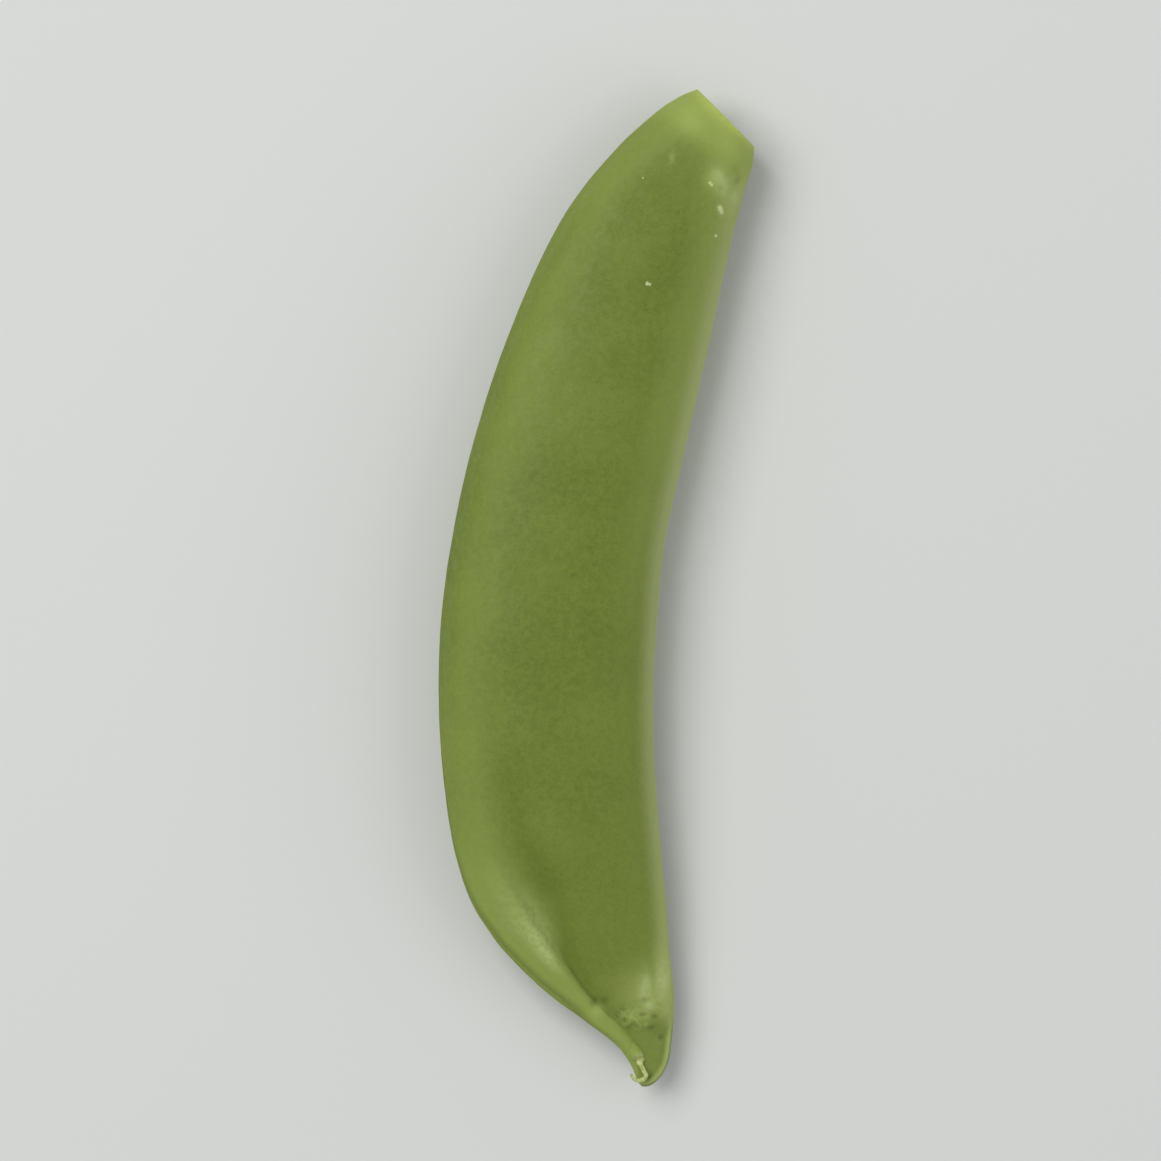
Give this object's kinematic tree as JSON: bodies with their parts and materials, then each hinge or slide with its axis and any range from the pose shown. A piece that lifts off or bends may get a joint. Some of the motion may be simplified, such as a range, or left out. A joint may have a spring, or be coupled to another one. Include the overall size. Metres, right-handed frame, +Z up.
{
  "type": "sugar snap pea pod",
  "caption": "Plump curved sugar snap pea pod with a trimmed stem end, seams along both edges and a tip with a curled dried style, lying on its side.",
  "frame": {"origin": "bottom centre of the pod's box, on the surface that the pod lies on", "axes": "+Y along the pod from the tip to the trimmed stem end, +X from the outer, bowed edge to the inner, hollow edge, +Z up from the surface"},
  "size_m": [0.0214, 0.0794, 0.0101],
  "materials": {
    "pod_skin": "satin"
  },
  "bodies": {
    "root": {"pod": "pod_skin"}
  },
  "joints": []
}
